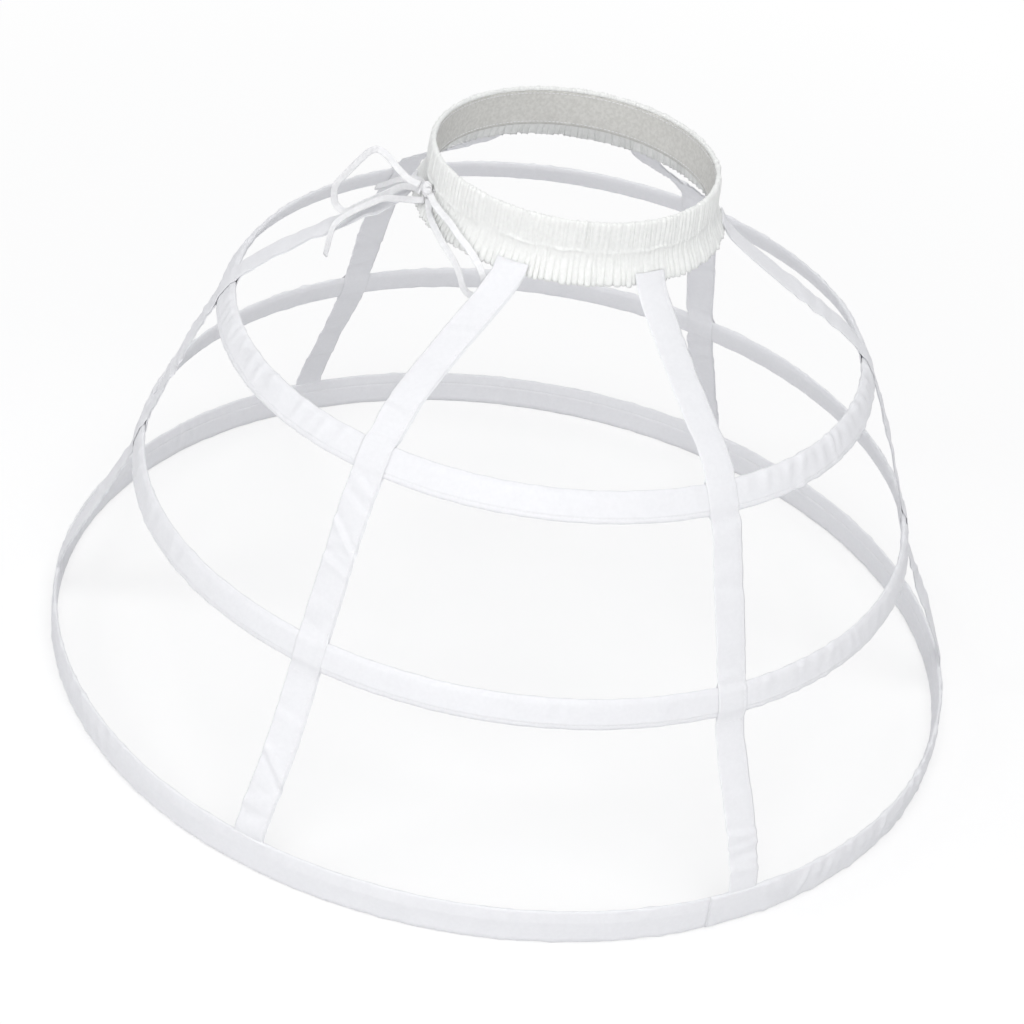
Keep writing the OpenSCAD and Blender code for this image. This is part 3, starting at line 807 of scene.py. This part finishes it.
def casing_rows(height, seams):
    """Heights of a casing's rows of points, closer together at its edges and seams."""
    v = np.linspace(-1, 1, CASING_ROWS)
    v = height / 2 * np.sign(v) * (1 - (1 - np.abs(v)) ** ROW_CROWDING)
    for seam in seams:
        close = seam + GROOVE_W * SEAM_ROWS
        v = np.append(v[np.abs(v - seam) > 2 * GROOVE_W], close)
    return np.sort(v)


def make_casing(node, name, height, top_h, top_t, bare_top_t, seams):
    """Closed tape ring round a bone: two faces sewn together, with the bone's channel inside."""
    mid_r, mid_z = ring_place(node)
    lean = LEANS[node]
    round_l = 2 * math.pi * mid_r
    low, high = -height / 2, height / 2
    channel = (low + SEAM_H, high - top_h)
    turn = np.linspace(0, 2 * math.pi, int(round_l / RING_STEP), endpoint=False)
    lapped = node == "hem_casing"
    if lapped:
        turn = np.sort(np.append(turn, LAP_ANGLE + LAP_EDGE_W / mid_r * LAP_COLUMNS))
    beside = np.abs((turn - FIRST_STRAP + STRAP_STEP / 2) % STRAP_STEP - STRAP_STEP / 2) * mid_r
    free = smooth_step((beside - HELD_FLAT_W) / HELD_FADE_W)[:, None]
    v = casing_rows(height, sorted(set(seams[0] + seams[1])))
    bend = [low, *channel, high]
    full, bare = (np.interp(v, bend, [CASING_SEAM_T / 2, CASING_T / 2, CASING_T / 2, edge_t / 2])
                  for edge_t in (top_t, bare_top_t))
    rounding = np.clip((np.abs(v) - high) / EDGE_ROUND_H + 1, 0, 1)
    rounded = np.sqrt(np.clip(1 - rounding**2, CASING_THINNEST_EDGE, 1))
    half = (full * (1 - free) + bare * free) * rounded
    grooves = [SEAM_GROOVE_T * sum((bell((v - seam) / GROOVE_W) for seam in side), 0 * v)
               for side in seams]
    fold = puckers(node, turn * mid_r, v, round_l) * free
    edge = waves(turn, EDGE_WAVES, EDGE_SWAY)[:, None] + EDGE_PUCKER_SHARE * fold[:, -1:]
    along = v + edge * (np.abs(v) / high) ** EDGE_POWER
    swell = waves(turn, RING_WAVES, RING_SWAY)[:, None]
    rise = half - grooves[0] + fold
    if lapped:
        past = ((turn - LAP_ANGLE + math.pi) % (2 * math.pi) - math.pi) * mid_r
        lap = smooth_step(past / LAP_EDGE_W + 0.5) * smooth_step((LAP_W - past) / LAP_W)
        lap = lap - bell((past + LAP_EDGE_W) / LAP_EDGE_W)
        rise = rise + LAP_T * lap[:, None]

    def shown(deep, up):
        """Places on the ring from depths out of the tape and heights along it."""
        rr = mid_r + swell + deep * math.cos(lean) - up * math.sin(lean)
        zz = mid_z + deep * math.sin(lean) + up * math.cos(lean)
        return on_ring(rr, turn[:, None], zz)

    face = shown(rise, along)
    back = shown(grooves[1] - half - BACK_PUCKER_SHARE * fold, along)[:, ::-1]
    cloth = Cloth()
    cloth.grid(np.concatenate([face, back], 1), round_l, True)
    room = np.array([(-CHANNEL_T / 2, channel[0]), (CHANNEL_T / 2, channel[0]),
                     (CHANNEL_T / 2, channel[1]), (-CHANNEL_T / 2, channel[1])])
    cloth.grid(shown(room[:, 0], room[:, 1]), round_l, True, hollow=True)
    facing = on_ring(np.full(len(turn), math.cos(lean)), turn, math.sin(lean))
    for seam in seams[0]:
        cloth.stitches(face[:, np.argmin(np.abs(v - seam))], facing, True)
    for seam in seams[1]:
        cloth.stitches(back[:, len(v) - 1 - np.argmin(np.abs(v - seam))], -facing, True)
    piece = cloth.piece(name, [CASING, THREAD], "cotton_cloth", node)


# Bow

# Routes of the bow's tapes from the knot, as in the solids
UPPER_LOOP = [
    (-0.112, -0.046, -0.007), (-0.121, -0.042, -0.006), (-0.130, -0.038, -0.001),
    (-0.138, -0.034, 0.005), (-0.146, -0.030, 0.008), (-0.153, -0.026, 0.004),
    (-0.160, -0.022, -0.006), (-0.166, -0.019, -0.016), (-0.172, -0.016, -0.026),
    (-0.177, -0.014, -0.035), (-0.178, -0.013, -0.045), (-0.175, -0.014, -0.053),
    (-0.167, -0.017, -0.055), (-0.157, -0.016, -0.048), (-0.147, -0.016, -0.041),
    (-0.137, -0.016, -0.034), (-0.128, -0.019, -0.026), (-0.121, -0.029, -0.019),
    (-0.115, -0.039, -0.014), (-0.111, -0.046, -0.012)]
LOWER_LOOP = [
    (-0.104, -0.054, -0.013), (-0.102, -0.060, -0.020), (-0.099, -0.069, -0.022),
    (-0.093, -0.080, -0.026), (-0.087, -0.090, -0.029), (-0.080, -0.097, -0.034),
    (-0.074, -0.102, -0.040), (-0.070, -0.105, -0.047), (-0.067, -0.108, -0.053),
    (-0.062, -0.111, -0.056), (-0.056, -0.114, -0.054), (-0.052, -0.116, -0.048),
    (-0.052, -0.115, -0.041), (-0.055, -0.114, -0.034), (-0.060, -0.110, -0.028),
    (-0.067, -0.103, -0.023), (-0.076, -0.095, -0.018), (-0.084, -0.085, -0.014),
    (-0.092, -0.075, -0.012), (-0.099, -0.065, -0.010), (-0.103, -0.056, -0.008)]
SHORT_TAIL = [
    (-0.108, -0.043, -0.010), (-0.114, -0.033, -0.010), (-0.122, -0.022, -0.016),
    (-0.131, -0.012, -0.024), (-0.140, -0.005, -0.033), (-0.148, 0.001, -0.040)]
LONG_TAIL = [
    (-0.107, -0.050, -0.017), (-0.115, -0.045, -0.021), (-0.123, -0.037, -0.026),
    (-0.131, -0.029, -0.031), (-0.140, -0.023, -0.036), (-0.150, -0.022, -0.043),
    (-0.160, -0.023, -0.050), (-0.168, -0.025, -0.056), (-0.174, -0.029, -0.062),
    (-0.176, -0.032, -0.071), (-0.177, -0.033, -0.079), (-0.178, -0.033, -0.087)]
# Tapes of the bow: name, node, route, way its flat side faces, twist, and what its far end is
BOW_TAPES = [("bow_upper_tape", "bow_loop_upper", UPPER_LOOP, (0.0, -0.8, 0.6), 0.4, "object"),
             ("bow_lower_tape", "bow_loop_lower", LOWER_LOOP, (-0.4, -0.8, 0.5), 0.5, "object"),
             ("bow_short_tape", "bow_tail_short", SHORT_TAIL, (-0.2, -0.7, 0.6), 0.4, "bare"),
             ("bow_long_tape", "bow_tail_long", LONG_TAIL, (-0.1, -0.8, 0.6), 0.7, "bare")]
# Steps between two points of a route, the tape's width, its columns, and the bead at each edge
CORD_PARTS = 5
BOW_W = 0.0054
CORD_COLUMNS = 13
BEAD_SHARE = 0.36
BEAD_RISE = 0.35

# Turns of tape in the knot: lean, half width, half depth, shift to one side
KNOT_TURNS = [(0.2, 0.0060, 0.0024, 0.0), (1.25, 0.0050, 0.0029, 0.0008),
              (2.3, 0.0055, 0.0026, -0.0008), (0.75, 0.0040, 0.0031, 0.0)]
KNOT_TAPE_W = 0.0050
KNOT_TAPE_T = 0.0009
KNOT_STEPS = 40

# The drawstring's run: its radius, those of its ends outside the cover, and half its gap as an angle
RUN_R = 0.10985
RUN_OUT_R = (0.1118, 0.1136)
RUN_GAP = 0.0361
RUN_STEPS = 240
UPWARD = np.array([0.0, 0.0, 1.0])


def flat_tape(cloth, line, wide, twist, width=BOW_W, thickness=CORD_T, joined=False):
    """Flat woven tape along a line, with a bead at each edge, turning by twist from end to end."""
    way = unit(np.gradient(line, axis=0))
    if joined:
        way = unit(np.roll(line, -1, axis=0) - np.roll(line, 1, axis=0))
    sides = unit(wide - way * (way * wide).sum(-1, keepdims=True))
    up = np.cross(way, sides)
    turn = np.linspace(0, twist, len(line))[:, None]
    wide = sides * np.cos(turn) + up * np.sin(turn)
    thin = up * np.cos(turn) - sides * np.sin(turn)
    across, face = tape_section(width, thickness, CORD_COLUMNS)
    bead = 1 + BEAD_RISE * (np.abs(across) > width * BEAD_SHARE)
    ridge = (face * bead * thickness / 2)[None, :, None]
    points = line[:, None] + wide[:, None] * across[None, :, None] + thin[:, None] * ridge
    cloth.grid(points, walked(line)[-1], joined)


def make_cord(name, node, route, facing, twist, far_end, with_pieces):
    """A tape of the bow along its route, its flat side turned to facing."""
    line = through(route, CORD_PARTS)
    cloth = Cloth()
    flat_tape(cloth, line, np.cross(np.gradient(line, axis=0), facing), twist)
    piece = cloth.piece(name, [CORD], "cord", node)


def make_knot():
    """Knot: the tape wound tightly round itself, turn over turn."""
    low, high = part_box("bow_knot")
    middle = np.array((low + high) / 2)
    radial = np.array([math.cos(BOW_ANGLE), math.sin(BOW_ANGLE), 0.0])
    tangent = np.array([-math.sin(BOW_ANGLE), math.cos(BOW_ANGLE), 0.0])
    turn = np.linspace(0, 2 * math.pi, KNOT_STEPS, endpoint=False)[:, None]
    cloth = Cloth()
    for lean, wide_r, deep_r, shift in KNOT_TURNS:
        along = tangent * math.cos(lean) + UPWARD * math.sin(lean)
        beside = UPWARD * math.cos(lean) - tangent * math.sin(lean)
        line = middle + shift * beside + np.cos(turn) * along * wide_r + np.sin(turn) * radial * deep_r
        flat_tape(cloth, line, beside, 0.0, KNOT_TAPE_W, KNOT_TAPE_T, True)
    return cloth.piece("bow_knot_wrap", [CORD], "cord", "bow_knot")


def make_drawstring():
    """The drawstring's run in its tunnel, with its ends out through the cover to the knot."""
    low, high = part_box("drawstring")
    run_z = (low.z + high.z) / 2
    turn = np.linspace(BOW_ANGLE + RUN_GAP, BOW_ANGLE + 2 * math.pi - RUN_GAP, RUN_STEPS)
    run = on_ring(RUN_R, turn, run_z)
    ends = on_ring(np.array(RUN_OUT_R), turn[[0, -1]][:, None], run_z)
    line = np.concatenate([ends[0][::-1], run, ends[1]])
    cloth = Cloth()
    flat_tape(cloth, line, UPWARD, 0.0, CORD_D)
    cloth.piece("drawstring_tape", [CORD], "cord", "drawstring")


def make_bow():
    """Two loops and two tails, and the knot."""
    with_pieces = [make_knot()]
    for tape in BOW_TAPES:
        make_cord(*tape, with_pieces)
        with_pieces = []


# Bones inside the casings keep their solids

def dress_bones():
    for node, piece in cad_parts.items():
        if "bone" in node:
            material = STEEL if "ferrule" in node else BONE
            piece.data.materials.clear()
            piece.data.materials.append(material)


# Floor, light and background

def seen_share(tree):
    """1 for what the camera sees directly or in a reflection, and 0 for light that falls on things."""
    path = tree.nodes.new("ShaderNodeLightPath")
    total = path.outputs["Is Camera Ray"]
    for name in ("Is Glossy Ray", "Is Transmission Ray"):
        node = tree.nodes.new("ShaderNodeMath")
        node.operation = "MAXIMUM"
        tree.links.new(total, node.inputs[0])
        tree.links.new(path.outputs[name], node.inputs[1])
        total = node.outputs[0]
    return total


FLOOR_HALF = 6.0
FLOOR_GAP = 0.0004
# Colour that the floor throws back on the cage, and colour in which the camera sees it
FLOOR_COLOUR = (0.74, 0.74, 0.75)
FLOOR_SEEN_COLOUR = (0.99, 0.99, 0.99)
FLOOR_ROUGHNESS = 0.9
# Sockets of a colour mix, whose names it shares with its other kinds
MIX_SHARE = 0
MIX_COLOURS = (6, 7)
MIX_RESULT = 2
# How much of the floor's own light and shadow shows under the cage, and where that fades to white
FLOOR_SHADOW_SHARE = 0.40
FLOOR_FADE = (0.5, 1.5)


def make_floor():
    """Floor that keeps the cage's shadow, and fades to the white of the background."""
    low = cad_box[0].z - FLOOR_GAP
    mesh = bpy.data.meshes.new("floor")
    corners = [(-FLOOR_HALF, -FLOOR_HALF, low), (FLOOR_HALF, -FLOOR_HALF, low),
               (FLOOR_HALF, FLOOR_HALF, low), (-FLOOR_HALF, FLOOR_HALF, low)]
    mesh.from_pydata(corners, [], [(0, 1, 2, 3)])
    floor = bpy.data.objects.new("floor", mesh)
    scene.collection.objects.link(floor)
    n = Nodes("floor")
    seen = seen_share(n.tree)
    paint = n.add("ShaderNodeMix", data_type="RGBA")
    n.link(seen, paint.inputs[MIX_SHARE])
    for socket, colour in zip(MIX_COLOURS, (FLOOR_COLOUR, FLOOR_SEEN_COLOUR)):
        paint.inputs[socket].default_value = (*colour, 1)
    n.link(paint.outputs[MIX_RESULT], n.shader.inputs["Base Color"])
    n.look({"Roughness": FLOOR_ROUGHNESS})
    glow = n.add("ShaderNodeEmission")
    mix = n.add("ShaderNodeMixShader")
    spot = n.add("ShaderNodeVectorMath", operation="LENGTH")
    n.link(n.add("ShaderNodeNewGeometry").outputs["Position"], spot.inputs[0])
    fade = n.add("ShaderNodeMapRange")
    for socket, value in zip(("From Min", "From Max", "To Min", "To Max"),
                             (*FLOOR_FADE, 1 - FLOOR_SHADOW_SHARE, 1.0)):
        fade.inputs[socket].default_value = value
    n.link(spot.outputs["Value"], fade.inputs["Value"])
    n.link(n.math("MULTIPLY", seen, fade.outputs["Result"]), mix.inputs["Fac"])
    n.link(n.shader.outputs["BSDF"], mix.inputs[1])
    n.link(glow.outputs["Emission"], mix.inputs[2])
    n.link(mix.outputs["Shader"], n.tree.nodes["Material Output"].inputs["Surface"])
    mesh.materials.append(n.material)


SKY_COLOUR = (0.93, 0.95, 1.0)
SKY_STRENGTH = 0.36


def make_world():
    """Faint light from all round, and a white background for the camera."""
    world = bpy.data.worlds.new("studio")
    world.use_nodes = True
    tree = world.node_tree
    sky = tree.nodes["Background"]
    sky.inputs["Color"].default_value = (*SKY_COLOUR, 1)
    sky.inputs["Strength"].default_value = SKY_STRENGTH
    white = tree.nodes.new("ShaderNodeBackground")
    white.inputs["Color"].default_value = (1, 1, 1, 1)
    mix = tree.nodes.new("ShaderNodeMixShader")
    tree.links.new(seen_share(tree), mix.inputs["Fac"])
    tree.links.new(sky.outputs["Background"], mix.inputs[1])
    tree.links.new(white.outputs["Background"], mix.inputs[2])
    tree.links.new(mix.outputs["Shader"], tree.nodes["World Output"].inputs["Surface"])
    scene.world = world


# Soft lamps: name, place, size, watts, colour
LAMPS = [("overhead", (0.1, -1.1, 3.0), 2.4, 55.0, (1.0, 0.995, 0.985)),
         ("front", (0.1, -1.9, 0.3), 1.2, 9.5, (1.0, 0.995, 0.98)),
         ("left", (-2.2, -0.9, 0.8), 1.0, 14.0, (1.0, 0.995, 0.98)),
         ("right", (2.4, -1.2, 1.0), 1.2, 10.0, (1.0, 0.99, 0.97)),
         ("back", (0.2, 2.6, 1.6), 2.0, 18.0, (1.0, 0.995, 0.985))]
LAMP_AIM = Vector((0, 0, -0.2))


def make_lamps():
    for name, place, size, watts, colour in LAMPS:
        data = bpy.data.lights.new(name, "AREA")
        data.size = size
        data.energy = watts
        data.color = colour
        lamp = bpy.data.objects.new(name, data)
        lamp.location = place
        lamp.rotation_euler = (LAMP_AIM - Vector(place)).to_track_quat("-Z", "Y").to_euler()
        scene.collection.objects.link(lamp)


make_camera()
make_bow()
make_drawstring()
make_elastic()
make_waistband()
for hoop in ("upper", "middle"):
    make_casing("hoop_casing_" + hoop, hoop + "_hoop_casing", CASING_H, SEAM_H,
                CASING_SEAM_T, CASING_SEAM_T, HOOP_SEAMS)
make_casing("hem_casing", "hem_casing_cloth", HEM_H, HEM_TOP_H, HEM_TOP_T, HEM_BARE_TOP_T, HEM_SEAMS)
for number, strap in enumerate(STRAPS):
    make_strap(strap, FIRST_STRAP + number * STRAP_STEP)
dress_bones()
make_floor()
make_world()
make_lamps()
scene.view_settings.view_transform = "Standard"
